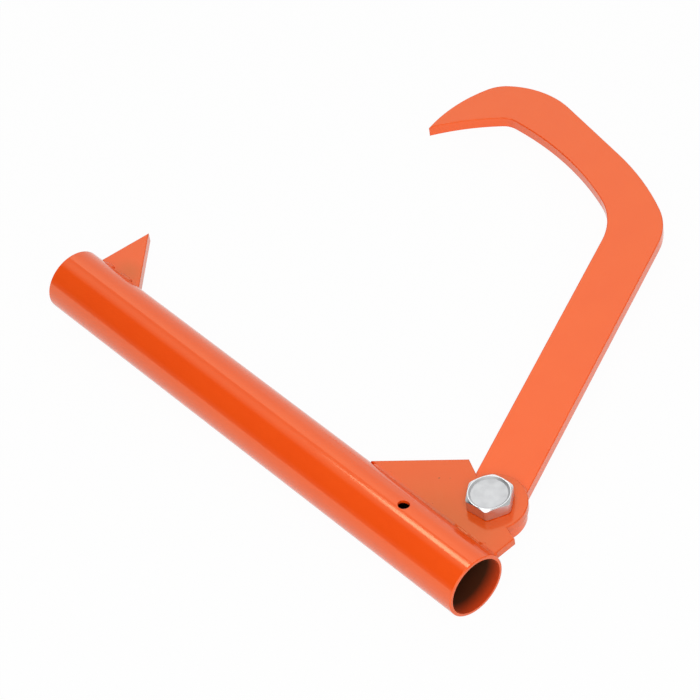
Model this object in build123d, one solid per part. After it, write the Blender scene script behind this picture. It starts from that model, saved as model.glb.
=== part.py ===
from build123d import *
import os
from math import atan2, cos, degrees, radians, sin, sqrt, tan

# A log hook: a pole socket with a fixed toe spike and a hook arm that swings on a bolt.
# The tool lies flat. X runs along the socket tube and out of its mouth, Y goes from the tube
# towards the hook, and Z is up, square to the plates. The origin is the middle of the socket's
# mouth. The tube's axis and the middles of the hook arm and the spike share the plane Z = 0.

# Socket tube, in millimetres
TUBE_OD = 42.4
TUBE_WALL = 2.2
TUBE_LENGTH = 382.0
RIM_BREAK = 0.5
SCREW_HOLE_D = 7.5
SCREW_HOLE_SETBACK = 64.0
SCREW_HOLE_TURN = 80.0  # degrees about the tube, from the hook's side towards the top

# Hinge: where the bolt stands, and how freely the arm turns on it
PIVOT_SETBACK = 34.0
PIVOT_STANDOFF = 24.3  # from the tube's side
PIN_CLEARANCE = 0.2
SIDE_PLAY = 0.3
REST_ANGLE = 113.4  # degrees from the socket's way out to the arm

# Hinge plate
PLATE_THICKNESS = 6.0
PLATE_SETBACK = 3.0
PLATE_TOE_HEIGHT = 14.3  # outer corner beside the mouth, from the tube's side
PLATE_SHOULDER_SETBACK = 68.5
PLATE_SHOULDER_HEIGHT = 39.3
PLATE_RAKE = 43.2  # degrees between the plate's sloped side and the tube
PLATE_CREST_FALL = 24.0  # degrees that the crest falls from the shoulder to the eye
PLATE_EYE_RADIUS = 22.8
PLATE_ROOT_LAND = 4.2  # height of the root edge that beds on the tube

# Hook arm, in its own frame: along the arm from the pivot, and across towards the throat
ARM_THICKNESS = 8.0
ARM_INNER = 20.0
ARM_OUTER = 15.7
ARM_EYE_RADIUS = 21.4
TIP_LEAD = 29.8  # degrees from the arm's line to the tip
THROAT_HEEL_OFFSET = 10.7  # past the outer edge's heel
THROAT_HEEL_ROUND = 50.0
THROAT_CROWN_OFFSET = 24.8  # past the tip
THROAT_CROWN_DEPTH = 48.2  # back from the tip, towards the arm's line
THROAT_CROWN_ROUND = 14.0
THROAT_CURVE = 213.0
TIP_CURVE = 165.0
HEEL_CURVE = 47.0
HEEL_SWEEP = 38.9  # degrees
SHOULDER_CURVE = 195.0
SHOULDER_SWEEP = 17.6  # degrees
BROW_CURVE = 59.0
BROW_SWEEP = 47.7  # degrees
NOSE_CURVE = 25.6
NOSE_SWEEP = 33.4  # degrees
BEAK_CURVE = 92.8
BEAK_SWEEP = 32.6  # degrees

# Toe spike
SPIKE_THICKNESS = 8.0
SPIKE_INSET = 7.5  # from the tube's far end to the point
SPIKE_HEIGHT = 37.3  # from the tube's side
SPIKE_BACK_RAKE = 6.8  # degrees, off square to the tube
SPIKE_FRONT_SLOPE = 47.2  # degrees between the front edge and the tube

# Cut edges of all plates
EDGE_BREAK = 0.5

# Pivot bolt, 18 mm
BOLT_D = 18.0
HEAD_FLATS = 27.0
HEAD_HEIGHT = 9.0
BEARING_FACE = 0.6
HEAD_CHAMFER = 30.0  # degrees
HEAD_TOP_INSET = 0.3  # from the flats in to the top's round edge
HEAD_CORNER_TRIM = 0.5  # taken off each corner as it is rounded
HEAD_TURN = 7.0  # degrees from X to the first corner
DISH_RIM = 0.5  # flat rim around the dish
DISH_DEPTH = 1.1
DISH_SLOPE = 1.3  # run of the dish's side, from the rim to the floor
THREAD_CORE_D = 16.4
BOLT_TAIL = 2.6
TAIL_CHAMFER = 1.4

# Washer and lock nut under the arm
WASHER_OD = 34.0
WASHER_THICKNESS = 3.0
NUT_HEX_HEIGHT = 9.0
NUT_COLLAR_HEIGHT = 4.0
NUT_COLLAR_D = 24.0
NUT_LIP = 0.9
NUT_TURN = 17.0  # degrees
THREAD_CLEARANCE = 0.1
INSERT_OD = 21.8
INSERT_HEIGHT = 3.4

# Weld beads, laid as stitches: each pair is a start and an end, as shares of the welded root
SPIKE_BEAD_RADIUS = 2.3
PLATE_BEAD_RADIUS = 1.5
UNDER_BEAD_RADIUS = 2.8
BEAD_END = 0.45  # share of its radius that a bead has left at each end
SPIKE_UPPER_STITCHES = ((0.17, 0.27), (0.58, 0.73))
SPIKE_LOWER_STITCHES = ((0.14, 0.86),)
PLATE_UPPER_STITCHES = ((0.06, 0.67), (0.905, 0.975))
PLATE_LOWER_STITCHES = ((0.06, 0.40), (0.915, 0.97))

# Places that follow from the sizes above
TUBE_R = TUBE_OD / 2
BORE_R = TUBE_R - TUBE_WALL
PIVOT = Vector(-PIVOT_SETBACK, TUBE_R + PIVOT_STANDOFF)
ARM_TOP = ARM_THICKNESS / 2
PLATE_BOTTOM = ARM_TOP + SIDE_PLAY
PLATE_TOP = PLATE_BOTTOM + PLATE_THICKNESS
WASHER_TOP = -ARM_TOP - SIDE_PLAY
NUT_TOP = WASHER_TOP - WASHER_THICKNESS
NUT_BOTTOM = NUT_TOP - NUT_HEX_HEIGHT - NUT_COLLAR_HEIGHT
BOLT_BOTTOM = NUT_BOTTOM - BOLT_TAIL
HEAD_TOP_R = HEAD_FLATS / 2 - HEAD_TOP_INSET
HEAD_CORNER_R = HEAD_FLATS / sqrt(3) - HEAD_CORNER_TRIM
HEAD_FALL = (HEAD_CORNER_R - HEAD_TOP_R) * tan(radians(HEAD_CHAMFER))


def tube_side(height):
    """Distance from the tube's axis to its outside, at a height above the axis."""
    return sqrt(TUBE_R**2 - height**2)


PLATE_ROOT = tube_side(PLATE_BOTTOM + PLATE_ROOT_LAND)
SPIKE_ROOT = tube_side(SPIKE_THICKNESS / 2) - EDGE_BREAK
SPIKE_POINT = Vector(SPIKE_INSET - TUBE_LENGTH, TUBE_R + SPIKE_HEIGHT)
TIP_RADIUS = (SPIKE_POINT - PIVOT).length  # the hook's tip meets the spike's point as it closes


def broken_plate(outline, bottom, top):
    """A flat plate of the given outline, with its cut edges broken top and bottom."""
    blank = extrude(Pos(0, 0, bottom) * outline, top - bottom)
    faces = blank.faces().sort_by(Axis.Z)
    rims = faces[0].outer_wire().edges() + faces[-1].outer_wire().edges()
    return chamfer(rims, EDGE_BREAK)


def hex_blank(flats, height):
    """A hexagonal bar, standing on Z = 0, with its first corner on X."""
    return extrude(RegularPolygon(flats / sqrt(3), 6), height)


def turned(profile):
    """The solid of revolution about Z of a closed outline of (radius, height) points."""
    face = make_face(Polyline([(r, 0, z) for r, z in profile], close=True))
    return revolve(face, Axis.Z)


def tube_envelope():
    """The tube's outside as a solid bar, to seat the welded pieces against."""
    return Pos(-TUBE_LENGTH / 2, 0, 0) * Rot(0, 90, 0) * Cylinder(TUBE_R, TUBE_LENGTH)


def socket_tube():
    """The handle's socket: a plain tube, open at both ends, with a screw hole near its mouth."""
    wall = turned([
        (BORE_R, 0),
        (TUBE_R - RIM_BREAK, 0),
        (TUBE_R, RIM_BREAK),
        (TUBE_R, TUBE_LENGTH - RIM_BREAK),
        (TUBE_R - RIM_BREAK, TUBE_LENGTH),
        (BORE_R, TUBE_LENGTH),
    ])
    tube = Rot(0, -90, 0) * wall
    drill = Pos(0, 0, TUBE_R) * Cylinder(SCREW_HOLE_D / 2, TUBE_R)
    lean = Rot(SCREW_HOLE_TURN - 90, 0, 0)
    return tube - Pos(-SCREW_HOLE_SETBACK, 0, 0) * lean * drill


def hinge_plate():
    """The plate welded along the tube, with a round eye that carries the bolt."""
    root = PLATE_ROOT
    toe = (-PLATE_SETBACK, TUBE_R + PLATE_TOE_HEIGHT)
    shoulder = (-PLATE_SHOULDER_SETBACK, TUBE_R + PLATE_SHOULDER_HEIGHT)
    crest_drop = (PLATE_SHOULDER_SETBACK - PIVOT_SETBACK) * tan(radians(PLATE_CREST_FALL))
    gusset = make_face(Polyline([
        (-PLATE_SETBACK, root),
        toe,
        (PIVOT.X, shoulder[1] - crest_drop),
        shoulder,
        (plate_far_end(), root),
    ], close=True))
    outline = gusset + Pos(PIVOT.X, PIVOT.Y) * Circle(PLATE_EYE_RADIUS)
    plate = broken_plate(outline, PLATE_BOTTOM, PLATE_TOP)
    bolt_hole = Cylinder(BOLT_D / 2 + PIN_CLEARANCE, 4 * PLATE_THICKNESS)
    return plate - Pos(PIVOT.X, PIVOT.Y, PLATE_TOP) * bolt_hole - tube_envelope()


def plate_far_end():
    """X where the plate's sloped side comes down to its root."""
    drop = TUBE_R + PLATE_SHOULDER_HEIGHT - PLATE_ROOT
    return -PLATE_SHOULDER_SETBACK - drop / tan(radians(PLATE_RAKE))


def bend_travel(bends):
    """How far a run of bends carries a line that sets out along X, as (radius, sweep) pairs."""
    heading = 0.0
    travel = Vector(0, 0)
    for curve, sweep in bends:
        onward = heading + radians(sweep)
        travel += curve * Vector(sin(onward) - sin(heading), cos(heading) - cos(onward))
        heading = onward
    return travel


def arm_outline():
    """The hook's outline in its own frame: X along the arm, Y towards the throat."""
    lead = radians(TIP_LEAD)
    tip = (TIP_RADIUS * cos(lead), TIP_RADIUS * sin(lead))
    bends = bend_travel([
        (HEEL_CURVE, HEEL_SWEEP),
        (SHOULDER_CURVE, SHOULDER_SWEEP),
        (BROW_CURVE, BROW_SWEEP),
        (NOSE_CURVE, NOSE_SWEEP),
        (BEAK_CURVE, BEAK_SWEEP),
    ])
    back_slope = radians(HEEL_SWEEP + SHOULDER_SWEEP)
    back_length = (tip[1] + ARM_OUTER - bends.Y) / sin(back_slope)
    heel_reach = tip[0] - bends.X - back_length * cos(back_slope)
    throat_heel = (heel_reach + THROAT_HEEL_OFFSET, ARM_INNER)
    throat_crown = (tip[0] + THROAT_CROWN_OFFSET, tip[1] - THROAT_CROWN_DEPTH)
    outer = Line((0, -ARM_OUTER), (heel_reach, -ARM_OUTER))
    heel = JernArc(outer @ 1, outer % 1, HEEL_CURVE, HEEL_SWEEP)
    shoulder = JernArc(heel @ 1, heel % 1, SHOULDER_CURVE, SHOULDER_SWEEP)
    back = Line(shoulder @ 1, shoulder @ 1 + back_length * (shoulder % 1))
    brow = JernArc(back @ 1, back % 1, BROW_CURVE, BROW_SWEEP)
    nose = JernArc(brow @ 1, brow % 1, NOSE_CURVE, NOSE_SWEEP)
    beak = TangentArc(nose @ 1, tip, tangent=nose % 1)
    edges = [
        outer,
        heel,
        shoulder,
        back,
        brow,
        nose,
        beak,
        RadiusArc(tip, throat_crown, TIP_CURVE),
        RadiusArc(throat_crown, throat_heel, THROAT_CURVE),
        Line(throat_heel, (0, ARM_INNER)),
        Line((0, ARM_INNER), (0, -ARM_OUTER)),
    ]
    blade = make_face(edges)
    for corner, round_over in ((throat_crown, THROAT_CROWN_ROUND), (throat_heel, THROAT_HEEL_ROUND)):
        nearest = blade.vertices().sort_by_distance(corner)[0]
        blade = fillet(nearest, round_over)
    return blade + Circle(ARM_EYE_RADIUS)


def hook_arm():
    """The flat hook, swung to where it rests."""
    arm = broken_plate(arm_outline(), -ARM_TOP, ARM_TOP)
    arm -= Cylinder(BOLT_D / 2 + PIN_CLEARANCE, 2 * ARM_THICKNESS)
    return Pos(PIVOT.X, PIVOT.Y) * Rot(0, 0, REST_ANGLE) * arm


def toe_spike():
    """The three-cornered spike near the socket's far end, coped to the tube."""
    drop = SPIKE_POINT.Y - SPIKE_ROOT
    outline = make_face(Polyline([
        (SPIKE_POINT.X, SPIKE_POINT.Y),
        (SPIKE_POINT.X - drop * tan(radians(SPIKE_BACK_RAKE)), SPIKE_ROOT),
        (SPIKE_POINT.X + drop / tan(radians(SPIKE_FRONT_SLOPE)), SPIKE_ROOT),
    ], close=True))
    half = SPIKE_THICKNESS / 2
    return broken_plate(outline, -half, half) - tube_envelope()


def pivot_bolt():
    """The hexagon bolt: a dished head on the plate, a plain shank, and a threaded tail."""
    envelope = turned([
        (0, 0),
        (HEAD_CORNER_R, 0),
        (HEAD_CORNER_R, HEAD_HEIGHT - HEAD_FALL),
        (HEAD_TOP_R, HEAD_HEIGHT),
        (0, HEAD_HEIGHT),
    ])
    dish_r = HEAD_TOP_R - DISH_RIM
    dish = turned([
        (0, HEAD_HEIGHT - DISH_DEPTH),
        (dish_r - DISH_SLOPE, HEAD_HEIGHT - DISH_DEPTH),
        (dish_r, HEAD_HEIGHT),
        (0, HEAD_HEIGHT),
    ])
    head = (hex_blank(HEAD_FLATS, HEAD_HEIGHT) & envelope) - dish
    head -= extrude(Circle(HEAD_FLATS) - Circle(HEAD_TOP_R), BEARING_FACE)
    core = THREAD_CORE_D / 2
    grip = PLATE_TOP - NUT_TOP
    length = PLATE_TOP - BOLT_BOTTOM
    shank = turned([
        (0, 0),
        (BOLT_D / 2, 0),
        (BOLT_D / 2, -grip),
        (core, -grip),
        (core, -length + TAIL_CHAMFER),
        (core - TAIL_CHAMFER, -length),
        (0, -length),
    ])
    return Pos(PIVOT.X, PIVOT.Y, PLATE_TOP) * Rot(0, 0, HEAD_TURN) * (head + shank)


def pivot_washer():
    """The flat washer between the arm and the nut."""
    ring = Circle(WASHER_OD / 2) - Circle(BOLT_D / 2 + PIN_CLEARANCE)
    return extrude(Pos(PIVOT.X, PIVOT.Y, NUT_TOP) * ring, WASHER_THICKNESS)


def lock_nut():
    """The lock nut: a hexagon with a rolled collar that holds the nylon ring."""
    total = NUT_HEX_HEIGHT + NUT_COLLAR_HEIGHT
    envelope = turned([
        (0, 0),
        (HEAD_TOP_R, 0),
        (HEAD_CORNER_R, HEAD_FALL),
        (HEAD_CORNER_R, NUT_HEX_HEIGHT - HEAD_FALL),
        (NUT_COLLAR_D / 2, NUT_HEX_HEIGHT),
        (NUT_COLLAR_D / 2, total - NUT_LIP),
        (NUT_COLLAR_D / 2 - NUT_LIP, total),
        (0, total),
    ])
    bore_r = THREAD_CORE_D / 2 + THREAD_CLEARANCE
    body = hex_blank(HEAD_FLATS, total) & envelope
    body -= extrude(Circle(bore_r), total)
    body -= extrude(Pos(0, 0, insert_floor()) * Circle(INSERT_OD / 2), INSERT_HEIGHT)
    body -= extrude(Pos(0, 0, insert_floor()) * Circle(INSERT_OD / 2 - NUT_LIP), total)
    return nut_place() * body


def insert_floor():
    """Depth of the nylon ring's seat, from the nut's face against the washer."""
    return NUT_HEX_HEIGHT + NUT_COLLAR_HEIGHT - NUT_LIP - INSERT_HEIGHT


def nut_place():
    """The nut hangs under the washer, turned to where it was tightened."""
    return Pos(PIVOT.X, PIVOT.Y, NUT_TOP) * Rot(180, 0, NUT_TURN)


def nut_insert():
    """The nylon ring that grips the thread."""
    ring = Circle(INSERT_OD / 2) - Circle(THREAD_CORE_D / 2 + THREAD_CLEARANCE)
    return nut_place() * extrude(Pos(0, 0, insert_floor()) * ring, INSERT_HEIGHT)


def weld_bead(start, end, side, height, radius, neighbour):
    """A bead along the tube from one X to another, cut back to the faces that it joins."""
    end_r = BEAD_END * radius
    bead = turned([
        (0, start - radius),
        (end_r, start - radius),
        (radius, start),
        (radius, end),
        (end_r, end + radius),
        (0, end + radius),
    ])
    return Pos(0, side, height) * Rot(0, 90, 0) * bead - tube_envelope() - neighbour


def stitched(start, length, stitches, side, height, radius, neighbour):
    """A row of beads along a root that begins at one X, each given as shares of its length."""
    return Compound([
        weld_bead(start + first * length, start + last * length, side, height, radius, neighbour)
        for first, last in stitches
    ])


def spike_weld(spike, stitches, above):
    """The beads along the spike's root, above or below it."""
    box = spike.bounding_box()
    height = (SPIKE_THICKNESS / 2 + SPIKE_BEAD_RADIUS / 4) * above
    side = tube_side(SPIKE_THICKNESS / 2) + SPIKE_BEAD_RADIUS / 5
    return stitched(box.min.X, box.size.X, stitches, side, height, SPIKE_BEAD_RADIUS, spike)


def plate_weld_upper(plate):
    """The beads that fill parts of the groove between the plate's top and the tube."""
    start = plate_far_end()
    length = -PLATE_SETBACK - start
    height = PLATE_TOP - PLATE_BEAD_RADIUS / 2
    return stitched(start, length, PLATE_UPPER_STITCHES, PLATE_ROOT, height, PLATE_BEAD_RADIUS, plate)


def plate_weld_lower(plate):
    """The beads under the plate, clear of the turning arm."""
    start = plate_far_end()
    length = -PLATE_SETBACK - start
    height = PLATE_BOTTOM - UNDER_BEAD_RADIUS / 4
    side = tube_side(PLATE_BOTTOM) + UNDER_BEAD_RADIUS / 5
    return stitched(start, length, PLATE_LOWER_STITCHES, side, height, UNDER_BEAD_RADIUS, plate)


def closing_angle():
    """Degrees that the arm turns from rest until its tip meets the spike's point."""
    aim = SPIKE_POINT - PIVOT
    return degrees(atan2(aim.Y, aim.X)) - REST_ANGLE - TIP_LEAD


def main():
    """Build every piece and write each one to its own file."""
    spike = toe_spike()
    plate = hinge_plate()
    pieces = {
        "socket_tube": socket_tube(),
        "hinge_plate": plate,
        "hook_arm": hook_arm(),
        "toe_spike": spike,
        "pivot_bolt": pivot_bolt(),
        "pivot_washer": pivot_washer(),
        "lock_nut": lock_nut(),
        "nut_insert": nut_insert(),
        "spike_weld_upper": spike_weld(spike, SPIKE_UPPER_STITCHES, 1),
        "spike_weld_lower": spike_weld(spike, SPIKE_LOWER_STITCHES, -1),
        "plate_weld_upper": plate_weld_upper(plate),
        "plate_weld_lower": plate_weld_lower(plate),
    }
    os.makedirs("parts", exist_ok=True)
    for name, solid in pieces.items():
        export_step(solid, f"parts/{name}.step")
    print(f"The tip meets the spike {closing_angle():.1f} degrees on from rest")


main()
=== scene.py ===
"""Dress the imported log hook: enamel, zinc and nylon, rippled welds, a bolt thread and a light tent."""

import logging
import math
from dataclasses import dataclass
from enum import Enum
from typing import Any, Dict, List, Optional, Sequence, Tuple, Union

import bmesh
import bpy
from mathutils import Euler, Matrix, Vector

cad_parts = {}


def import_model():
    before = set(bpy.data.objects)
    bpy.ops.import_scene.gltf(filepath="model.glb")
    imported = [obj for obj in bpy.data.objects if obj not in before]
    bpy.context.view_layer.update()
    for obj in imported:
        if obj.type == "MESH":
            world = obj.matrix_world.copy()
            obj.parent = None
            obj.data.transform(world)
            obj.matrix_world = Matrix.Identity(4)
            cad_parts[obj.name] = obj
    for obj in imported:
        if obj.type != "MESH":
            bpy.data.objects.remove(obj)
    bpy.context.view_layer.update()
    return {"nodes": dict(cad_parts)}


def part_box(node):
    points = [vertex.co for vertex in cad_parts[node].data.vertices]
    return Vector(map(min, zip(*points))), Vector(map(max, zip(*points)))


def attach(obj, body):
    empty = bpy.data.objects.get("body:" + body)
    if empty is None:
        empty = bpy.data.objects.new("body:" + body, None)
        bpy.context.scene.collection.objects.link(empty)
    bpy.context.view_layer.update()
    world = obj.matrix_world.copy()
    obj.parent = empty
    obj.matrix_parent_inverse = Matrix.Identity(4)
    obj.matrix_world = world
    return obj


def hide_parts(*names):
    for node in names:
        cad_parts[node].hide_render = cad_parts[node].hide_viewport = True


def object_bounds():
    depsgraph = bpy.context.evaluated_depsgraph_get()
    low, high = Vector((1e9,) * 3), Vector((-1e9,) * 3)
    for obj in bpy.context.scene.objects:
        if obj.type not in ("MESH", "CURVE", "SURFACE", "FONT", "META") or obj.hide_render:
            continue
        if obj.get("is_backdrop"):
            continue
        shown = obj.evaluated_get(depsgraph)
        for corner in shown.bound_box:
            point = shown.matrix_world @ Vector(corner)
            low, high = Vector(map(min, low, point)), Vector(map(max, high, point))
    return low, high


LOG = logging.getLogger("log_hook")

MM = 0.001

Colour = Tuple[float, float, float, float]
Flat = Tuple[float, float]
Point = Tuple[float, float, float]
Key = Union[int, str]


class Body(Enum):
    """The two bodies that the hinge joins."""

    SOCKET = "socket"
    HOOK = "hook"


class Slot(Enum):
    """The record's material slots."""

    PAINT = "orange_paint"
    ZINC = "zinc_steel"


@dataclass(frozen=True)
class Grain:
    """The steel's relief under a coat: its size along X, Y and Z, and its height."""

    size_mm: Point
    height_mm: float


class Surface(Enum):
    """What lies under the enamel, and the grain of it that shows through faintly."""

    TUBE = Grain((70.0, 2.4, 2.4), 0.0022)
    PLATE = Grain((16.0, 16.0, 16.0), 0.012)
    WELD = Grain((1.1, 1.1, 1.1), 0.010)


class Side(Enum):
    """The face of a plate that a seam lies on."""

    ABOVE = 1.0
    BELOW = -1.0


def linear(code: str) -> Colour:
    """Turn an sRGB hex colour into linear values.

    Args:
        code: The colour as "#RRGGBB".

    Returns:
        Red, green and blue from 0 to 1, and an alpha of 1.
    """
    parts = []
    for start in (1, 3, 5):
        share = int(code[start:start + 2], 16) / 255
        parts.append(share / 12.92 if share <= 0.04045 else ((share + 0.055) / 1.055) ** 2.4)
    return (parts[0], parts[1], parts[2], 1.0)


def pattern_scale(size_mm: float) -> float:
    """Texture scale at which a pattern repeats about every size_mm millimetres."""
    return 1.0 / (size_mm * MM)


def add_node(
    tree: bpy.types.NodeTree,
    kind: str,
    settings: Optional[Dict[Key, Any]] = None,
    links: Optional[Dict[Key, bpy.types.NodeSocket]] = None,
) -> bpy.types.Node:
    """Add one node, set its values and link its inputs.

    Args:
        tree: The tree that gets the node.
        kind: The node's type name.
        settings: Properties of the node by name, and values of its inputs by name or number.
        links: Output sockets to link, by the name or number of the input.

    Returns:
        The new node.
    """
    node = tree.nodes.new(kind)
    for key, value in (settings or {}).items():
        if isinstance(key, str) and hasattr(node, key):
            setattr(node, key, value)
        else:
            node.inputs[key].default_value = value
    for key, socket in (links or {}).items():
        tree.links.new(socket, node.inputs[key])
    return node


def new_material(name: str) -> bpy.types.Material:
    """Make a material with an empty node tree.

    Args:
        name: The finish's name.

    Returns:
        The material.
    """
    material = bpy.data.materials.new(name)
    material.use_nodes = True
    material.node_tree.nodes.clear()
    return material


def paint_node(node: bpy.types.Object, material: bpy.types.Material) -> None:
    """Give a solid one finish all over.

    Args:
        node: The solid's object.
        material: The finish.
    """
    if not node.material_slots:
        node.data.materials.append(material)
    for slot in node.material_slots:
        slot.material = material


def place_object(name: str, data: bpy.types.ID) -> bpy.types.Object:
    """Make an object and link it to the scene.

    Args:
        name: The object's name.
        data: Its mesh, lamp or camera.

    Returns:
        The object.
    """
    thing = bpy.data.objects.new(name, data)
    bpy.context.scene.collection.objects.link(thing)
    return thing


def loft(name: str, runs: Sequence[Sequence[Sequence[Point]]]) -> bpy.types.Object:
    """Skin closed runs of rings into one smooth object.

    Args:
        name: The object's name.
        runs: Each run is a list of rings, and each ring a list of points in metres.

    Returns:
        The object, linked to the scene.
    """
    shape = bmesh.new()
    for rings in runs:
        rows = [[shape.verts.new(point) for point in ring] for ring in rings]
        count = len(rows[0])
        for row, onward in zip(rows, rows[1:]):
            for k in range(count):
                beside = (k + 1) % count
                shape.faces.new((row[k], row[beside], onward[beside], onward[k]))
        shape.faces.new(rows[0][::-1])
        shape.faces.new(rows[-1])
    bmesh.ops.recalc_face_normals(shape, faces=shape.faces)
    mesh = bpy.data.meshes.new(name)
    shape.to_mesh(mesh)
    shape.free()
    for face in mesh.polygons:
        face.use_smooth = True
    return place_object(name, mesh)


@dataclass(frozen=True)
class ThinSpotAndShade:
    """A soft-edged darker place in a coat, used both for thin spots in the coat and for painted shade in
    corners: where it lies, how far it reaches, and how dark it gets.
    """

    place_mm: Point
    half_mm: Point
    colour: str = "#B8410F"
    core: float = 0.0
    depth: float = 1.0

    def lay(
        self, tree: bpy.types.NodeTree, place: bpy.types.NodeSocket, colour: bpy.types.NodeSocket
    ) -> bpy.types.NodeSocket:
        """Blend the spot's darker colour in here: it stands for a thin spot in the coat where there is one,
        and for painted shade in the corners by the tube.

        Args:
            tree: The material's tree.
            place: The surface's coordinates.
            colour: The colour around the spot.

        Returns:
            The colour with the spot in it.
        """
        offset = add_node(
            tree,
            "ShaderNodeVectorMath",
            {"operation": "SUBTRACT", 1: Vector(self.place_mm) * MM},
            {0: place},
        )
        shares = add_node(
            tree,
            "ShaderNodeVectorMath",
            {"operation": "DIVIDE", 1: Vector(self.half_mm) * MM},
            {0: offset.outputs["Vector"]},
        )
        away = add_node(tree, "ShaderNodeVectorMath", {"operation": "LENGTH"}, {0: shares.outputs["Vector"]})
        thin = add_node(
            tree,
            "ShaderNodeMapRange",
            {
                "interpolation_type": "SMOOTHSTEP",
                "From Min": 1.0,
                "From Max": self.core,
                "To Min": 0.0,
                "To Max": self.depth,
            },
            {"Value": away.outputs["Value"]},
        )
        marked = add_node(
            tree,
            "ShaderNodeMix",
            {"data_type": "RGBA", 7: linear(self.colour)},
            {0: thin.outputs["Result"], 6: colour},
        )
        return marked.outputs[2]


@dataclass(frozen=True)
class Enamel:
    """Stoved orange enamel, sprayed wet on steel and baked.

    It gives the eye a deep even orange under a bright gloss, a faint orange peel that makes reflected edges
    waver, a thinner, browner coat along sharp edges, painted shade in the corners by the tube, and a darker,
    duller inside of the tube, partly thinner spray and partly painted shade.
    """

    name: str
    surface: Surface
    colour: str = "#FA5613"
    deep_colour: str = "#F64E0F"
    thin_colour: str = "#B8410F"
    bore_colour: str = "#D63C06"
    primer_and_shade_colour: str = "#471706"
    gleam_colour: str = "#FFFDC8"
    thin_spots_and_shade: Sequence[ThinSpotAndShade] = ()
    cloud_mm: float = 26.0
    peel_mm: float = 2.6
    peel_height_mm: float = 0.004
    edge_round_mm: float = 0.5
    edge_wear_mm: float = 0.8
    edge_thinning: float = 0.55
    wear_patch_mm: float = 3.2
    cut_line_mm: Point = (0.9, 0.9, 22.0)
    cut_depth_mm: float = 0.02
    gloss: Flat = (0.11, 0.19)
    gloss_patch_mm: float = 7.0
    shine: float = 1.0
    bore_roughness: float = 1.0
    bore_edge_mm: float = 19.15
    bore_fade_mm: float = 10.5
    end_darkening: float = 0.15

    def material(self) -> bpy.types.Material:
        """Build the finish's nodes.

        Returns:
            The material.
        """
        material = new_material(self.name)
        tree = material.node_tree
        place = add_node(tree, "ShaderNodeTexCoord").outputs["Object"]
        colour = self._colour(tree, place)
        rough = add_node(
            tree,
            "ShaderNodeTexNoise",
            {"Scale": pattern_scale(self.gloss_patch_mm), "Detail": 3.0},
            {"Vector": place},
        )
        gloss = add_node(
            tree,
            "ShaderNodeMapRange",
            {"From Min": 0.3, "From Max": 0.7, "To Min": self.gloss[0], "To Max": self.gloss[1]},
            {"Value": rough.outputs["Fac"]},
        )
        # Thin spots in the coat, and painted shade in the corners by the tube
        for spot in self.thin_spots_and_shade:
            colour = spot.lay(tree, place, colour)
        coat = {"Base Color": colour, "Roughness": gloss.outputs["Result"]}
        if self.surface is Surface.TUBE:
            coat["Base Color"] = self._sawn_ends(tree, colour)
            coat = self._bore(tree, place, coat)
        shader = add_node(
            tree,
            "ShaderNodeBsdfPrincipled",
            {"IOR": 1.5, "Specular IOR Level": self.shine, "Specular Tint": linear(self.gleam_colour)},
            {**coat, "Normal": self._relief(tree, place)},
        )
        add_node(tree, "ShaderNodeOutputMaterial", links={"Surface": shader.outputs["BSDF"]})
        return material

    def _colour(self, tree: bpy.types.NodeTree, place: bpy.types.NodeSocket) -> bpy.types.NodeSocket:
        """Cloud the orange a little, and thin it along sharp edges.

        Args:
            tree: The material's tree.
            place: The surface's coordinates.

        Returns:
            The colour socket.
        """
        cloud = add_node(
            tree,
            "ShaderNodeTexNoise",
            {"Scale": pattern_scale(self.cloud_mm), "Detail": 2.0, "Roughness": 0.4},
            {"Vector": place},
        )
        body = add_node(
            tree,
            "ShaderNodeMix",
            {"data_type": "RGBA", 6: linear(self.colour), 7: linear(self.deep_colour)},
            {0: cloud.outputs["Fac"]},
        )
        flat = add_node(tree, "ShaderNodeNewGeometry").outputs["Normal"]
        soft = add_node(tree, "ShaderNodeBevel", {"samples": 6, "Radius": self.edge_wear_mm * MM})
        lean = add_node(
            tree, "ShaderNodeVectorMath", {"operation": "DOT_PRODUCT"}, {0: flat, 1: soft.outputs["Normal"]}
        )
        edge = add_node(
            tree,
            "ShaderNodeMapRange",
            {"From Min": 0.985, "From Max": 0.8, "To Min": 0.0, "To Max": self.edge_thinning},
            {"Value": lean.outputs["Value"]},
        )
        broken = add_node(
            tree,
            "ShaderNodeTexNoise",
            {"Scale": pattern_scale(self.wear_patch_mm), "Detail": 4.0, "Roughness": 0.65},
            {"Vector": place},
        )
        patches = add_node(
            tree,
            "ShaderNodeMapRange",
            {"From Min": 0.42, "From Max": 0.62},
            {"Value": broken.outputs["Fac"]},
        )
        wear = add_node(
            tree,
            "ShaderNodeMath",
            {"operation": "MULTIPLY"},
            {0: edge.outputs["Result"], 1: patches.outputs["Result"]},
        )
        worn = add_node(
            tree,
            "ShaderNodeMix",
            {"data_type": "RGBA", 7: linear(self.thin_colour)},
            {0: wear.outputs["Value"], 6: body.outputs[2]},
        )
        return worn.outputs[2]

    def _sawn_ends(
        self, tree: bpy.types.NodeTree, colour: bpy.types.NodeSocket
    ) -> bpy.types.NodeSocket:
        """Darken the colour a little on the tube's sawn end faces.

        Args:
            tree: The material's tree.
            colour: The colour around them.

        Returns:
            The colour with the darker ends.
        """
        facing = add_node(tree, "ShaderNodeNewGeometry").outputs["True Normal"]
        tilt = add_node(tree, "ShaderNodeSeparateXYZ", links={"Vector": facing})
        along = add_node(tree, "ShaderNodeMath", {"operation": "ABSOLUTE"}, {0: tilt.outputs["X"]})
        sawn = add_node(
            tree,
            "ShaderNodeMapRange",
            {"From Min": 0.9, "From Max": 0.98, "To Min": 0.0, "To Max": self.end_darkening},
            {"Value": along.outputs["Value"]},
        )
        darkened = add_node(
            tree,
            "ShaderNodeMix",
            {"data_type": "RGBA", 7: linear(self.thin_colour)},
            {0: sawn.outputs["Result"], 6: colour},
        )
        return darkened.outputs[2]

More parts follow.
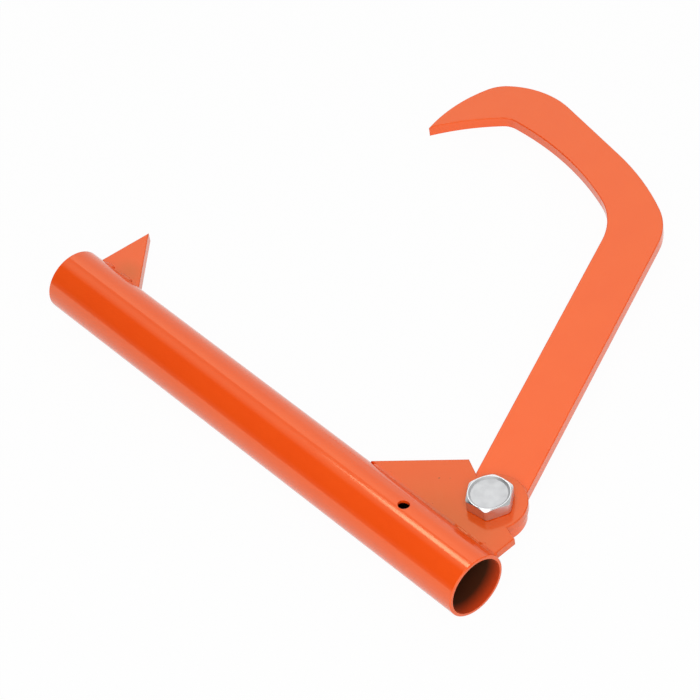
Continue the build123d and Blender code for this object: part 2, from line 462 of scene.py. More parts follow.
    def _bore(
        self,
        tree: bpy.types.NodeTree,
        place: bpy.types.NodeSocket,
        coat: Dict[Key, bpy.types.NodeSocket],
    ) -> Dict[Key, bpy.types.NodeSocket]:
        """Make the inside of the tube darker and duller, from a brownish orange at the ends to a dark brown
        further in: partly thinner spray, partly painted shade.

        Args:
            tree: The material's tree.
            place: The surface's coordinates.
            coat: The outside's sockets, by the shader's inputs.

        Returns:
            The sockets with the bore in them.
        """
        axes = add_node(tree, "ShaderNodeSeparateXYZ", links={"Vector": place})
        across = add_node(
            tree, "ShaderNodeCombineXYZ", links={"Y": axes.outputs["Y"], "Z": axes.outputs["Z"]}
        )
        radius = add_node(
            tree, "ShaderNodeVectorMath", {"operation": "LENGTH"}, {0: across.outputs["Vector"]}
        )
        inside = add_node(
            tree,
            "ShaderNodeMath",
            {"operation": "LESS_THAN", 1: self.bore_edge_mm * MM},
            {0: radius.outputs["Value"]},
        )
        low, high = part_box("socket_tube")
        middle = (low.x + high.x) / 2
        half = (high.x - low.x) / 2
        shifted = add_node(
            tree, "ShaderNodeMath", {"operation": "SUBTRACT", 1: middle}, {0: axes.outputs["X"]}
        )
        out = add_node(tree, "ShaderNodeMath", {"operation": "ABSOLUTE"}, {0: shifted.outputs["Value"]})
        depth = add_node(
            tree,
            "ShaderNodeMapRange",
            {"From Min": half, "From Max": half - self.bore_fade_mm * MM},
            {"Value": out.outputs["Value"]},
        )
        # Partly thinner spray and partly painted shade: the inside darkens from the tube's ends inward
        film_and_shade = add_node(
            tree,
            "ShaderNodeMix",
            {"data_type": "RGBA", 6: linear(self.bore_colour), 7: linear(self.primer_and_shade_colour)},
            {0: depth.outputs["Result"]},
        )
        shade = add_node(
            tree,
            "ShaderNodeMix",
            {"data_type": "RGBA"},
            {0: inside.outputs["Value"], 6: coat["Base Color"], 7: film_and_shade.outputs[2]},
        )
        dull = add_node(
            tree,
            "ShaderNodeMix",
            {"data_type": "FLOAT", 3: self.bore_roughness},
            {0: inside.outputs["Value"], 2: coat["Roughness"]},
        )
        return {"Base Color": shade.outputs[2], "Roughness": dull.outputs[0]}

    def _relief(self, tree: bpy.types.NodeTree, place: bpy.types.NodeSocket) -> bpy.types.NodeSocket:
        """Round the edges, and lay the orange peel over what the steel under it shows.

        Args:
            tree: The material's tree.
            place: The surface's coordinates.

        Returns:
            The normal socket.
        """
        rounded = add_node(tree, "ShaderNodeBevel", {"samples": 8, "Radius": self.edge_round_mm * MM})
        steel = self.surface.value
        stretch = add_node(
            tree,
            "ShaderNodeMapping",
            {"Scale": tuple(pattern_scale(size) for size in steel.size_mm)},
            {"Vector": place},
        )
        grain = add_node(
            tree, "ShaderNodeTexNoise", {"Scale": 1.0, "Detail": 2.0}, {"Vector": stretch.outputs["Vector"]}
        )
        under = add_node(
            tree,
            "ShaderNodeBump",
            {"Strength": 1.0, "Distance": steel.height_mm * MM},
            {"Height": grain.outputs["Fac"], "Normal": rounded.outputs["Normal"]},
        )
        if self.surface is Surface.PLATE:
            under = self._cut_marks(tree, place, under.outputs["Normal"])
        peel = add_node(
            tree,
            "ShaderNodeTexNoise",
            {"Scale": pattern_scale(self.peel_mm), "Detail": 1.0, "Roughness": 0.3},
            {"Vector": place},
        )
        skin = add_node(
            tree,
            "ShaderNodeBump",
            {"Strength": 1.0, "Distance": self.peel_height_mm * MM},
            {"Height": peel.outputs["Fac"], "Normal": under.outputs["Normal"]},
        )
        return skin.outputs["Normal"]

    def _cut_marks(
        self, tree: bpy.types.NodeTree, place: bpy.types.NodeSocket, normal: bpy.types.NodeSocket
    ) -> bpy.types.Node:
        """Run the cutter's fine upright lines down the plate's edges, and leave its faces smooth.

        Args:
            tree: The material's tree.
            place: The surface's coordinates.
            normal: The normal under the marks.

        Returns:
            The bump node.
        """
        facing = add_node(tree, "ShaderNodeNewGeometry").outputs["True Normal"]
        tilt = add_node(tree, "ShaderNodeSeparateXYZ", links={"Vector": facing})
        level = add_node(tree, "ShaderNodeMath", {"operation": "ABSOLUTE"}, {0: tilt.outputs["Z"]})
        upright = add_node(
            tree,
            "ShaderNodeMapRange",
            {"From Min": 0.5, "From Max": 0.1},
            {"Value": level.outputs["Value"]},
        )
        stretch = add_node(
            tree,
            "ShaderNodeMapping",
            {"Scale": tuple(pattern_scale(size) for size in self.cut_line_mm)},
            {"Vector": place},
        )
        lines = add_node(
            tree, "ShaderNodeTexNoise", {"Scale": 1.0, "Detail": 2.0}, {"Vector": stretch.outputs["Vector"]}
        )
        height = add_node(
            tree,
            "ShaderNodeMath",
            {"operation": "MULTIPLY"},
            {0: lines.outputs["Fac"], 1: upright.outputs["Result"]},
        )
        return add_node(
            tree,
            "ShaderNodeBump",
            {"Strength": 1.0, "Distance": self.cut_depth_mm * MM},
            {"Height": height.outputs["Value"], "Normal": normal},
        )


@dataclass(frozen=True)
class ZincPlate:
    """Bright zinc plating over forged and turned steel.

    It gives the eye a cool pale metal with a satin skin and a fine grain, cloudy patches where the plating
    is duller, faint rings from the lathe, and a burnished, smoother rim around the head's top, whose paler
    colour is a painted highlight.
    """

    name: str
    axis_mm: Flat
    colour: str = "#EBECED"
    dull_colour: str = "#DDDEE0"
    rim_highlight_colour: str = "#F6F7F8"
    gloss: Flat = (0.40, 0.54)
    rim_roughness: float = 0.18
    rim_mm: Flat = (12.5, 12.8)
    cloud_mm: float = 5.0
    ring_mm: float = 0.8
    ring_height_mm: float = 0.0015
    grain_mm: float = 0.9
    grain_height_mm: float = 0.0015
    edge_round_mm: float = 0.35

    def material(self) -> bpy.types.Material:
        """Build the finish's nodes.

        Returns:
            The material.
        """
        material = new_material(self.name)
        tree = material.node_tree
        place = add_node(tree, "ShaderNodeTexCoord").outputs["Object"]
        cloud = add_node(
            tree,
            "ShaderNodeTexNoise",
            {"Scale": pattern_scale(self.cloud_mm), "Detail": 5.0, "Roughness": 0.6},
            {"Vector": place},
        )
        colour = add_node(
            tree,
            "ShaderNodeMix",
            {"data_type": "RGBA", 6: linear(self.colour), 7: linear(self.dull_colour)},
            {0: cloud.outputs["Fac"]},
        )
        gloss = add_node(
            tree,
            "ShaderNodeMapRange",
            {"From Min": 0.3, "From Max": 0.7, "To Min": self.gloss[0], "To Max": self.gloss[1]},
            {"Value": cloud.outputs["Fac"]},
        )
        radius = self._radius(tree, place)
        rim = self._rim(tree, radius)
        # Painted highlight: the rim's colour is made paler than the rest of the plating
        bright = add_node(
            tree,
            "ShaderNodeMix",
            {"data_type": "RGBA", 7: linear(self.rim_highlight_colour)},
            {0: rim, 6: colour.outputs[2]},
        )
        roughness = add_node(
            tree,
            "ShaderNodeMix",
            {"data_type": "FLOAT", 3: self.rim_roughness},
            {0: rim, 2: gloss.outputs["Result"]},
        )
        shader = add_node(
            tree,
            "ShaderNodeBsdfPrincipled",
            {"Metallic": 1.0},
            {
                "Base Color": bright.outputs[2],
                "Roughness": roughness.outputs[0],
                "Normal": self._relief(tree, place, radius),
            },
        )
        add_node(tree, "ShaderNodeOutputMaterial", links={"Surface": shader.outputs["BSDF"]})
        return material

    def _radius(self, tree: bpy.types.NodeTree, place: bpy.types.NodeSocket) -> bpy.types.NodeSocket:
        """Measure how far the surface lies from the bolt's axis.

        Args:
            tree: The material's tree.
            place: The surface's coordinates.

        Returns:
            The distance's socket.
        """
        centred = add_node(
            tree,
            "ShaderNodeVectorMath",
            {"operation": "SUBTRACT", 1: Vector((*self.axis_mm, 0.0)) * MM},
            {0: place},
        )
        flat = add_node(
            tree,
            "ShaderNodeVectorMath",
            {"operation": "MULTIPLY", 1: (1.0, 1.0, 0.0)},
            {0: centred.outputs["Vector"]},
        )
        away = add_node(tree, "ShaderNodeVectorMath", {"operation": "LENGTH"}, {0: flat.outputs["Vector"]})
        return away.outputs["Value"]

    def _rim(self, tree: bpy.types.NodeTree, radius: bpy.types.NodeSocket) -> bpy.types.NodeSocket:
        """Find the rim: faces that look up, outside the pressed dish, which is burnished smoother and
        painted paler as a highlight.

        Args:
            tree: The material's tree.
            radius: The distance from the bolt's axis.

        Returns:
            A socket that is 1 on the rim and 0 elsewhere.
        """
        facing = add_node(tree, "ShaderNodeNewGeometry").outputs["True Normal"]
        tilt = add_node(tree, "ShaderNodeSeparateXYZ", links={"Vector": facing})
        upward = add_node(
            tree, "ShaderNodeMapRange", {"From Min": 0.4, "From Max": 0.6}, {"Value": tilt.outputs["Z"]}
        )
        outside = add_node(
            tree,
            "ShaderNodeMapRange",
            {"From Min": self.rim_mm[0] * MM, "From Max": self.rim_mm[1] * MM},
            {"Value": radius},
        )
        rim = add_node(
            tree,
            "ShaderNodeMath",
            {"operation": "MULTIPLY"},
            {0: upward.outputs["Result"], 1: outside.outputs["Result"]},
        )
        return rim.outputs["Value"]

    def _relief(
        self, tree: bpy.types.NodeTree, place: bpy.types.NodeSocket, radius: bpy.types.NodeSocket
    ) -> bpy.types.NodeSocket:
        """Lay turned rings about the bolt's axis, and a forged grain over them.

        Args:
            tree: The material's tree.
            place: The surface's coordinates.
            radius: The distance from the bolt's axis.

        Returns:
            The normal socket.
        """
        rounded = add_node(tree, "ShaderNodeBevel", {"samples": 8, "Radius": self.edge_round_mm * MM})
        rings = add_node(
            tree,
            "ShaderNodeTexNoise",
            {"noise_dimensions": "1D", "Scale": pattern_scale(self.ring_mm), "Detail": 2.0},
            {"W": radius},
        )
        turned = add_node(
            tree,
            "ShaderNodeBump",
            {"Strength": 1.0, "Distance": self.ring_height_mm * MM},
            {"Height": rings.outputs["Fac"], "Normal": rounded.outputs["Normal"]},
        )
        grain = add_node(
            tree,
            "ShaderNodeTexNoise",
            {"Scale": pattern_scale(self.grain_mm), "Detail": 3.0},
            {"Vector": place},
        )
        forged = add_node(
            tree,
            "ShaderNodeBump",
            {"Strength": 1.0, "Distance": self.grain_height_mm * MM},
            {"Height": grain.outputs["Fac"], "Normal": turned.outputs["Normal"]},
        )
        return forged.outputs["Normal"]


@dataclass(frozen=True)
class MouldedNylon:
    """Natural nylon, moulded as a ring.

    It gives the eye a waxy off-white that lets a little light into its edges.
    """

    name: str
    colour: str = "#E2E3DA"
    shade_colour: str = "#D3D4C8"
    grain_mm: float = 1.5
    grain_height_mm: float = 0.01
    glow_depth_mm: float = 0.8

    def material(self) -> bpy.types.Material:
        """Build the finish's nodes.

        Returns:
            The material.
        """
        material = new_material(self.name)
        tree = material.node_tree
        place = add_node(tree, "ShaderNodeTexCoord").outputs["Object"]
        cloud = add_node(
            tree,
            "ShaderNodeTexNoise",
            {"Scale": pattern_scale(self.grain_mm), "Detail": 3.0},
            {"Vector": place},
        )
        colour = add_node(
            tree,
            "ShaderNodeMix",
            {"data_type": "RGBA", 6: linear(self.colour), 7: linear(self.shade_colour)},
            {0: cloud.outputs["Fac"]},
        )
        moulded = add_node(
            tree,
            "ShaderNodeBump",
            {"Strength": 1.0, "Distance": self.grain_height_mm * MM},
            {"Height": cloud.outputs["Fac"]},
        )
        shader = add_node(
            tree,
            "ShaderNodeBsdfPrincipled",
            {
                "Roughness": 0.42,
                "IOR": 1.53,
                "Subsurface Weight": 0.15,
                "Subsurface Scale": self.glow_depth_mm * MM,
            },
            {"Base Color": colour.outputs[2], "Normal": moulded.outputs["Normal"]},
        )
        add_node(tree, "ShaderNodeOutputMaterial", links={"Surface": shader.outputs["BSDF"]})
        return material


@dataclass
class WeldSeam:
    """A row of beads, or of pooled enamel, along the corner between the tube and a plate's face."""

    name: str
    stands_for: Optional[str]
    plate: str
    side: Side
    stitches: Sequence[Flat]
    face_mm: float
    plate_toe_mm: float
    tube_toe_degrees: float
    crown_mm: float
    root_mm: Flat
    tube_radius_mm: float = 21.2
    sink_mm: float = 0.08
    ripple_mm: float = 1.7
    ripple_depth: float = 0.05
    ripple_bow_mm: float = 0.8  # how far a ripple runs ahead at the bead's crown
    ripple_level: float = 0.75  # the part of a ripple's wave that lies on the bead's own size
    swells: Sequence[Point] = ((0.035, 0.83, 0.0), (0.025, 1.37, 1.1))  # share, radians a mm, offset
    end_mm: float = 2.4
    end_share: float = 0.3
    arc_steps: int = 14
    step_mm: float = 0.25
    least_steps: int = 8

    def section(self) -> List[Flat]:
        """Lay out the bead's skin, from its toe on the plate to its toe on the tube.

        Returns:
            Points across the tube, in millimetres.
        """
        turn = math.radians(self.tube_toe_degrees)
        reach = self.tube_radius_mm - self.sink_mm
        on_tube = Vector((reach * math.cos(turn), reach * math.sin(turn)))
        on_plate = Vector((self.plate_toe_mm, self.face_mm - self.side.value * self.sink_mm))
        across = on_tube - on_plate
        outward = Vector((across.y, -across.x)).normalized() * self.side.value
        points = []
        for k in range(self.arc_steps + 1):
            share = k / self.arc_steps
            skin = on_plate + share * across + 4 * share * (1 - share) * self.crown_mm * outward
            points.append((skin.x, skin.y))
        return points

    def rings(self, start_mm: float, end_mm: float) -> List[List[Point]]:
        """Carry the section along one bead, with its ripples and rounded ends.

        Args:
            start_mm: Where the bead's full height begins, along the tube.
            end_mm: Where it ends.

        Returns:
            The bead's rings, in metres.
        """
        section = self.section()
        root_y, root_z = self.root_mm
        first = start_mm - self.end_mm
        length = end_mm + self.end_mm - first
        steps = max(self.least_steps, round(length / self.step_mm))
        rows = []
        for k in range(steps + 1):
            x = first + length * k / steps
            past = max(start_mm - x, x - end_mm, 0.0) / self.end_mm
            size = self.end_share + (1 - self.end_share) * math.sqrt(max(0.0, 1 - past**2))
            size *= 1 + sum(share * math.sin(rate * x + offset) for share, rate, offset in self.swells)
            row = []
            for n, (y, z) in enumerate(section):
                crown = math.sin(math.pi * n / self.arc_steps)
                wave = abs(math.sin(math.pi * (x + self.ripple_bow_mm * crown) / self.ripple_mm))
                grow = size * (1 + self.ripple_depth * crown * (wave - self.ripple_level))
                row.append((x, root_y + grow * (y - root_y), root_z + grow * (z - root_z)))
            row.append((x, root_y, root_z))
            rows.append([tuple(MM * value for value in point) for point in row])
        return rows

    def build(self, paint: bpy.types.Material) -> None:
        """Make the seam's beads as one piece, which stands for its solids where it has any.

        Args:
            paint: The finish over the weld.
        """
        low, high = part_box(self.plate)
        start = low.x / MM
        length = (high.x - low.x) / MM
        runs = [self.rings(start + first * length, start + last * length) for first, last in self.stitches]
        piece = loft(self.name, runs)
        piece.data.materials.append(paint)
        if self.stands_for:
            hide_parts(self.stands_for)
        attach(piece, Body.SOCKET.value)
        LOG.info("%s: %d beads", self.name, len(runs))


@dataclass
class Socket:
    """The pole socket: the tube, the toe spike and the spike's welds."""

    spike_face_mm: float = 4.0
    bead_on_spike_mm: float = 23.4
    bead_on_tube_degrees: float = 18.0
    bead_crown_mm: float = 0.75
    bead_root_mm: Flat = (20.75, 3.95)
    upper_stitches: Sequence[Flat] = ((0.17, 0.27), (0.58, 0.73))
    lower_stitches: Sequence[Flat] = ((0.14, 0.86),)
    # Painted shade: the coat is made browner in the corner between the spike and the tube, where shade falls
    corner: ThinSpotAndShade = ThinSpotAndShade((-355.7, 26.9, 4.0), (20.2, 13.5, 40.0), "#B85613", depth=0.42)

    def seams(self) -> List[WeldSeam]:
        """Lay out the welds above and below the spike.

        Returns:
            The two seams.
        """
        root_y, root_z = self.bead_root_mm
        return [
            WeldSeam(
                name="spike_beads_upper",
                stands_for="spike_weld_upper",
                plate="toe_spike",
                side=Side.ABOVE,
                stitches=self.upper_stitches,
                face_mm=self.spike_face_mm,
                plate_toe_mm=self.bead_on_spike_mm,
                tube_toe_degrees=self.bead_on_tube_degrees,
                crown_mm=self.bead_crown_mm,
                root_mm=(root_y, root_z),
            ),
            WeldSeam(
                name="spike_beads_lower",
                stands_for="spike_weld_lower",
                plate="toe_spike",
                side=Side.BELOW,
                stitches=self.lower_stitches,
                face_mm=-self.spike_face_mm,
                plate_toe_mm=self.bead_on_spike_mm,
                tube_toe_degrees=-self.bead_on_tube_degrees,
                crown_mm=self.bead_crown_mm,
                root_mm=(root_y, -root_z),
            ),
        ]

    def build(self, nodes: Dict[str, bpy.types.Object], weld_paint: bpy.types.Material) -> None:
        """Paint the tube and the spike, and lay their welds.

        Args:
            nodes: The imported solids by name.
            weld_paint: The finish over the welds.
        """
        tube_paint = Enamel("stoved_enamel_on_tube", Surface.TUBE, edge_wear_mm=0.3, gloss=(0.08, 0.14))
        paint_node(nodes["socket_tube"], tube_paint.material())
        spike_paint = Enamel("stoved_enamel_on_spike", Surface.PLATE, thin_spots_and_shade=(self.corner,))
        paint_node(nodes["toe_spike"], spike_paint.material())
        for seam in self.seams():
            seam.build(weld_paint)
        LOG.info("%s: tube and spike painted", Body.SOCKET.value)


@dataclass
class BoltThread:
    """The thread on the bolt's tail, from inside the nylon ring to the tail's bevel."""

    axis_mm: Flat
    top_mm: float = -18.6
    bottom_mm: float = -22.35
    core_radius_mm: float = 8.12
    crest_radius_mm: float = 8.95
    pitch_mm: float = 2.5
    crest_half_mm: float = 0.16
    root_half_mm: float = 1.0
    fade_turns: float = 0.4
    crest_floor: float = 0.06  # the least share of the ridge's height, at its end
    root_floor: float = 0.25  # the least share of its width
    turn_steps: int = 72

    def rings(self) -> List[List[Point]]:
        """Wind the ridge's section down the tail.

        Returns:
            The ridge's rings, in metres.
        """
        turns = (self.top_mm - self.bottom_mm) / self.pitch_mm
        steps = round(turns * self.turn_steps)
        rows = []
        for k in range(steps + 1):
            turn = turns * k / steps
            angle = 2 * math.pi * turn
            z = self.top_mm - self.pitch_mm * turn
            share = min(1.0, (turns - turn) / self.fade_turns + self.crest_floor)
            crest = self.core_radius_mm + (self.crest_radius_mm - self.core_radius_mm) * share
            spread = self.root_floor + (1 - self.root_floor) * share
            half = self.crest_half_mm + (self.root_half_mm - self.crest_half_mm) * spread
            section = (
                (self.core_radius_mm, z + half),
                (crest, z + self.crest_half_mm),
                (crest, z - self.crest_half_mm),
                (self.core_radius_mm, z - half),
            )
            rows.append([
                (
                    MM * (self.axis_mm[0] + radius * math.cos(angle)),
                    MM * (self.axis_mm[1] + radius * math.sin(angle)),
                    MM * height,
                )
                for radius, height in section
            ])
        return rows

    def build(self, zinc: bpy.types.Material) -> None:
        """Make the ridge and fix it to the bolt's body.

        Args:
            zinc: The bolt's finish.
        """
        piece = loft("bolt_thread", [self.rings()])
        for face in piece.data.polygons:
            face.use_smooth = False
        piece.data.materials.append(zinc)
        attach(piece, Body.SOCKET.value)
        LOG.info("bolt_thread: %d faces", len(piece.data.polygons))


@dataclass
class Hinge:
    """The hinge: the welded plate, and the bolt with its washer, lock nut and nylon ring."""

    pivot_mm: Flat = (-34.0, 45.5)
    spots: Sequence[ThinSpotAndShade] = (
        ThinSpotAndShade((-70.8, 37.8, 10.3), (0.84, 0.84, 0.84), core=0.43),
        ThinSpotAndShade((-65.7, 42.2, 10.3), (0.75, 0.75, 0.75), core=0.3, depth=0.4),
    )
    # Painted shade: the coat is made browner in the corner between the plate and the tube, where shade falls
    corner: ThinSpotAndShade = ThinSpotAndShade((-43.2, 10.0, 10.3), (58.7, 43.9, 40.0), "#B85312", depth=0.55)
    upper_on_plate_mm: float = 21.5
    upper_on_tube_degrees: float = 34.0
    upper_crown_mm: float = -0.4
    upper_root_mm: Flat = (19.3, 8.9)
    upper_stitches: Sequence[Flat] = ((0.06, 0.67), (0.905, 0.975))
    upper_ripple_depth: float = 0.03
    upper_end_mm: float = 4.0
    enamel_end_mm: float = 1.0
    groove_on_plate_mm: Flat = (19.75, 10.2)
    groove_on_tube_degrees: float = 28.0
    groove_crown_mm: float = -0.15
    groove_stitches: Sequence[Flat] = ((0.66, 0.80),)
    pool_on_plate_mm: Flat = (20.4, 10.3)
    pool_on_tube_degrees: float = 30.5
    pool_crown_mm: float = -0.25
    pool_stitches: Sequence[Flat] = ((0.80, 0.91),)
    lower_on_plate_mm: float = 24.0
    lower_on_tube_degrees: float = 2.2
    lower_crown_mm: float = 0.9
    lower_root_mm: Flat = (20.7, 4.35)
    lower_stitches: Sequence[Flat] = ((0.06, 0.40), (0.915, 0.97))
    plate_top_mm: float = 10.3
    plate_bottom_mm: float = 4.3

    def finish(self) -> Enamel:
        """Choose the plate's coat: a deeper orange than the arm's, which is painted shade, and a browner
        corner by the tube, which is painted shade too.

        Returns:
            The finish.
        """
        return Enamel(
            "stoved_enamel_on_hinge",
            Surface.PLATE,
            colour="#F05312",
            deep_colour="#EA4C0F",
            thin_spots_and_shade=(self.corner, *self.spots),
        )

    def seams(self) -> List[WeldSeam]:
        """Lay out the welds above and below the plate, and the enamel in the groove between them.

        Returns:
            The four seams.
        """
        return [
            WeldSeam(
                name="plate_beads_upper",
                stands_for="plate_weld_upper",
                plate="hinge_plate",
                side=Side.ABOVE,
                stitches=self.upper_stitches,
                face_mm=self.plate_top_mm,
                plate_toe_mm=self.upper_on_plate_mm,
                tube_toe_degrees=self.upper_on_tube_degrees,
                crown_mm=self.upper_crown_mm,
                root_mm=self.upper_root_mm,
                ripple_depth=self.upper_ripple_depth,
                end_mm=self.upper_end_mm,
            ),
            WeldSeam(
                name="plate_groove_enamel",
                stands_for=None,
                plate="hinge_plate",
                side=Side.ABOVE,
                stitches=self.groove_stitches,
                face_mm=self.groove_on_plate_mm[1],
                plate_toe_mm=self.groove_on_plate_mm[0],
                tube_toe_degrees=self.groove_on_tube_degrees,
                crown_mm=self.groove_crown_mm,
                root_mm=self.upper_root_mm,
                ripple_depth=0.0,
                end_mm=self.enamel_end_mm,
            ),
            WeldSeam(
                name="plate_root_enamel",
                stands_for=None,
                plate="hinge_plate",
                side=Side.ABOVE,
                stitches=self.pool_stitches,
                face_mm=self.pool_on_plate_mm[1],
                plate_toe_mm=self.pool_on_plate_mm[0],
                tube_toe_degrees=self.pool_on_tube_degrees,
                crown_mm=self.pool_crown_mm,
                root_mm=self.upper_root_mm,
                ripple_depth=0.0,
                end_mm=self.enamel_end_mm,
            ),
            WeldSeam(
                name="plate_beads_lower",
                stands_for="plate_weld_lower",
                plate="hinge_plate",
                side=Side.BELOW,
                stitches=self.lower_stitches,
                face_mm=self.plate_bottom_mm,
                plate_toe_mm=self.lower_on_plate_mm,
                tube_toe_degrees=self.lower_on_tube_degrees,
                crown_mm=self.lower_crown_mm,
                root_mm=self.lower_root_mm,
            ),
        ]

    def build(self, nodes: Dict[str, bpy.types.Object], weld_paint: bpy.types.Material) -> None:
        """Paint the plate, plate the bolt set, and lay the welds and the thread.

        Args:
            nodes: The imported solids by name.
            weld_paint: The finish over the welds.
        """
        paint_node(nodes["hinge_plate"], self.finish().material())
        zinc = ZincPlate("bright_zinc_on_steel", self.pivot_mm).material()
        for name in ("pivot_bolt", "pivot_washer", "lock_nut"):
            paint_node(nodes[name], zinc)
        paint_node(nodes["nut_insert"], MouldedNylon("moulded_nylon").material())
        for seam in self.seams():
            seam.build(weld_paint)
        BoltThread(self.pivot_mm).build(zinc)
        LOG.info("hinge: plate, bolt, washer, nut and ring dressed")


@dataclass
class HookArm:
    """The swinging hook, cut from flat plate."""

    # Painted light: the arm's orange is a touch lighter than the tube's and the plate's, for the stronger
    # light on the arm
    finish: Enamel = Enamel("stoved_enamel_on_hook", Surface.PLATE, colour="#FF5914", deep_colour="#FB5110")

    def build(self, nodes: Dict[str, bpy.types.Object]) -> None:
        """Paint the arm.

        Args:
            nodes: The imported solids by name.
        """
        paint_node(nodes["hook_arm"], self.finish.material())
        LOG.info("%s: arm painted", Body.HOOK.value)


@dataclass
class Lamp:
    """A plain rectangular soft lamp, aimed at a point, that may be kept out of the gloss."""

    name: str
    place: Point
    aim: Point
    size: Flat
    watts: float
    in_gloss: bool = True

    def build(self) -> None:
        """Hang the lamp."""
        light = bpy.data.lights.new(self.name, "AREA")
        light.shape = "RECTANGLE"
        light.size, light.size_y = self.size
        light.energy = self.watts
        lamp = place_object(self.name, light)
        lamp.location = self.place
        lamp.rotation_euler = (Vector(self.aim) - Vector(self.place)).to_track_quat("-Z", "Y").to_euler()
        lamp.visible_camera = False
        lamp.visible_glossy = self.in_gloss


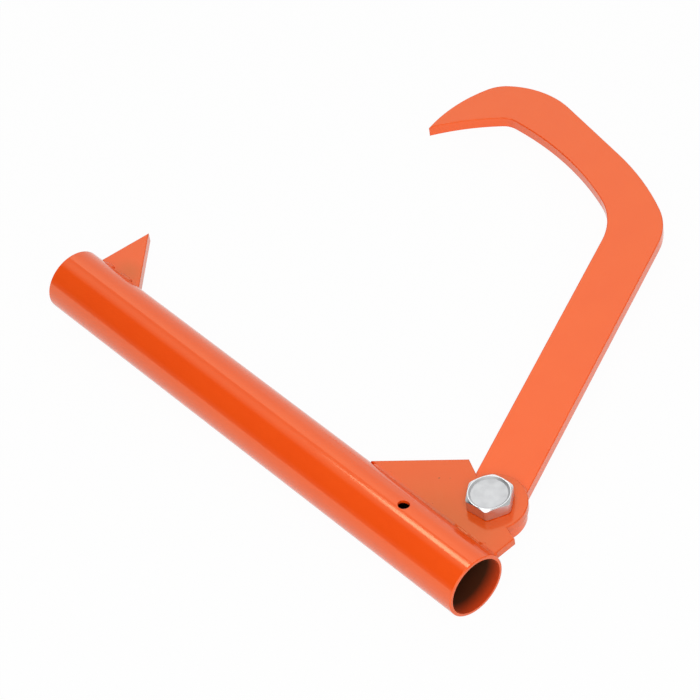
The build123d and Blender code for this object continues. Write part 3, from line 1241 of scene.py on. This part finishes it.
@dataclass
class Studio:
    """A pale floor, an even dome with a striped panel for the tube to mirror, and a few soft lamps."""

    floor_colour: str = "#DEDEDC"
    floor_half: float = 6.0
    floor_gap_mm: float = 0.2
    white_share: float = 0.97
    tent_stops: Sequence[Flat] = (
        (-180.0, 0.45),
        (-90.0, 1.0),
        (-30.0, 0.90),
        (30.0, 0.88),
        (42.0, 0.98),
        (52.0, 1.20),
        (64.0, 1.20),
        (67.0, 0.95),
        (70.0, 0.60),
        (74.0, 0.58),
        (78.0, 0.80),
        (88.0, 0.76),
        (97.0, 0.50),
        (107.0, 0.07),
        (160.0, 0.05),
        (173.0, 0.22),
        (180.0, 0.45),
    )
    panel_middle: float = -0.5
    panel_reach: Flat = (0.22, 0.32)
    dome_level: float = 0.5
    lamps: Sequence[Lamp] = (
        Lamp("front_softbox", (0.78, -0.66, 1.43), (-0.15, 0.1, 0.0), (1.4, 1.0), 16.0, in_gloss=False),
        Lamp("front_fill", (1.18, -0.98, 0.75), (-0.15, 0.1, 0.0), (2.2, 1.4), 5.1),
        Lamp("top_card", (0.0, -0.45, 1.45), (-0.03, 0.05, 0.0), (0.7, 0.5), 1.2),
        Lamp("strip_near", (-0.63, 0.175, 1.02), (-0.63, 0.175, 0.0), (0.17, 0.20), 0.405),
        Lamp("strip_far", (-0.742, 0.205, 1.02), (-0.742, 0.205, 0.0), (0.06, 0.06), 0.043),
    )

    def build(self) -> None:
        """Lay the floor, light the tent and hang the lamps."""
        self._floor()
        self._tent()
        for lamp in self.lamps:
            lamp.build()
        LOG.info("studio: floor, tent and %d lamps", len(self.lamps))

    def _floor(self) -> None:
        """Lay the floor under the lowest point: white to the eye and in gloss, with the shadow kept."""
        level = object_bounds()[0].z - self.floor_gap_mm * MM
        reach = self.floor_half
        mesh = bpy.data.meshes.new("studio_floor")
        mesh.from_pydata(
            [(-reach, -reach, level), (reach, -reach, level), (reach, reach, level), (-reach, reach, level)],
            [],
            [(0, 1, 2, 3)],
        )
        floor = place_object("studio_floor", mesh)
        mesh.materials.append(self._floor_paper())
        floor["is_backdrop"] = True

    def _floor_paper(self) -> bpy.types.Material:
        """Make the matt white paper of the floor.

        Returns:
            The material.
        """
        material = new_material("matt_white_paper")
        tree = material.node_tree
        path = add_node(tree, "ShaderNodeLightPath")
        seen = add_node(
            tree,
            "ShaderNodeMath",
            {"operation": "MAXIMUM"},
            {0: path.outputs["Is Camera Ray"], 1: path.outputs["Is Glossy Ray"]},
        )
        shown = add_node(
            tree,
            "ShaderNodeMath",
            {"operation": "MAXIMUM"},
            {0: seen.outputs["Value"], 1: path.outputs["Is Transmission Ray"]},
        )
        paper = add_node(tree, "ShaderNodeBsdfDiffuse", {"Color": linear(self.floor_colour)})
        glow = add_node(tree, "ShaderNodeEmission", {"Strength": 1.0})
        white = add_node(
            tree,
            "ShaderNodeMixShader",
            {0: self.white_share},
            {1: paper.outputs["BSDF"], 2: glow.outputs["Emission"]},
        )
        surface = add_node(
            tree,
            "ShaderNodeMixShader",
            links={0: shown.outputs["Value"], 1: paper.outputs["BSDF"], 2: white.outputs["Shader"]},
        )
        add_node(tree, "ShaderNodeOutputMaterial", links={"Surface": surface.outputs["Shader"]})
        return material

    def _tent(self) -> None:
        """Shade the sky: an even dome, and beyond the spike a panel that is dark where the tent opens."""
        world = bpy.data.worlds.new("light_tent")
        world.use_nodes = True
        bpy.context.scene.world = world
        tree = world.node_tree
        tree.nodes.clear()
        way = add_node(tree, "ShaderNodeTexCoord").outputs["Generated"]
        axes = add_node(tree, "ShaderNodeSeparateXYZ", links={"Vector": way})
        turn = add_node(
            tree,
            "ShaderNodeMath",
            {"operation": "ARCTAN2"},
            {0: axes.outputs["Z"], 1: axes.outputs["Y"]},
        )
        share = add_node(
            tree,
            "ShaderNodeMapRange",
            {"From Min": -math.pi, "From Max": math.pi},
            {"Value": turn.outputs["Value"]},
        )
        panels = add_node(tree, "ShaderNodeValToRGB", links={"Fac": share.outputs["Result"]})
        brightest = max(level for _, level in self.tent_stops)
        stops = panels.color_ramp.elements
        stops.remove(stops[1])
        for k, (degrees, level) in enumerate(self.tent_stops):
            position = (degrees + 180.0) / 360.0
            stop = stops[0] if k == 0 else stops.new(position)
            stop.position = position
            grey = level / brightest
            stop.color = (grey, grey, grey, 1.0)
        aside = add_node(
            tree, "ShaderNodeMath", {"operation": "SUBTRACT", 1: self.panel_middle}, {0: axes.outputs["X"]}
        )
        off = add_node(tree, "ShaderNodeMath", {"operation": "ABSOLUTE"}, {0: aside.outputs["Value"]})
        within = add_node(
            tree,
            "ShaderNodeMapRange",
            {
                "From Min": self.panel_reach[0],
                "From Max": self.panel_reach[1],
                "To Min": 1.0,
                "To Max": 0.0,
            },
            {"Value": off.outputs["Value"]},
        )
        dome = self.dome_level / brightest
        sky = add_node(
            tree,
            "ShaderNodeMix",
            {"data_type": "RGBA", 6: (dome, dome, dome, 1.0)},
            {0: within.outputs["Result"], 7: panels.outputs["Color"]},
        )
        tent = add_node(tree, "ShaderNodeBackground", {"Strength": brightest}, {"Color": sky.outputs[2]})
        add_node(tree, "ShaderNodeOutputWorld", links={"Surface": tent.outputs["Background"]})


@dataclass
class PhotoCamera:
    """The camera at the photograph's viewing angle, for a square image."""

    place: Point = (0.98990, -0.75906, 1.52291)
    turn_degrees: Point = (43.2607, 6.6656, 47.7850)
    lens_mm: float = 171.08
    sensor_mm: float = 36.0
    far_end: float = 50.0

    def build(self) -> None:
        """Set the camera up and make it the scene's own."""
        view = bpy.data.cameras.new("photo_camera")
        view.sensor_fit = "HORIZONTAL"
        view.sensor_width = self.sensor_mm
        view.lens = self.lens_mm
        view.clip_end = self.far_end
        camera = place_object("photo_camera", view)
        camera.location = self.place
        camera.rotation_euler = Euler([math.radians(angle) for angle in self.turn_degrees], "XYZ")
        bpy.context.scene.camera = camera


def main() -> None:
    """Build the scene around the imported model, piece by piece."""
    logging.basicConfig(level=logging.INFO, format="%(name)s: %(message)s")
    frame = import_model()
    nodes = frame["nodes"]
    bpy.context.scene.view_settings.view_transform = "Standard"
    PhotoCamera().build()
    socket = Socket()
    hinge = Hinge()
    # Painted shade in the corners by the tube, laid on the welds as well
    painted_shade_by_tube = (socket.corner, hinge.corner)
    weld_finish = Enamel(
        "stoved_enamel_on_weld", Surface.WELD, peel_height_mm=0.006, thin_spots_and_shade=painted_shade_by_tube
    )
    weld_paint = weld_finish.material()
    socket.build(nodes, weld_paint)
    hinge.build(nodes, weld_paint)
    HookArm().build(nodes)
    Studio().build()


if __name__ == "__main__":
    main()
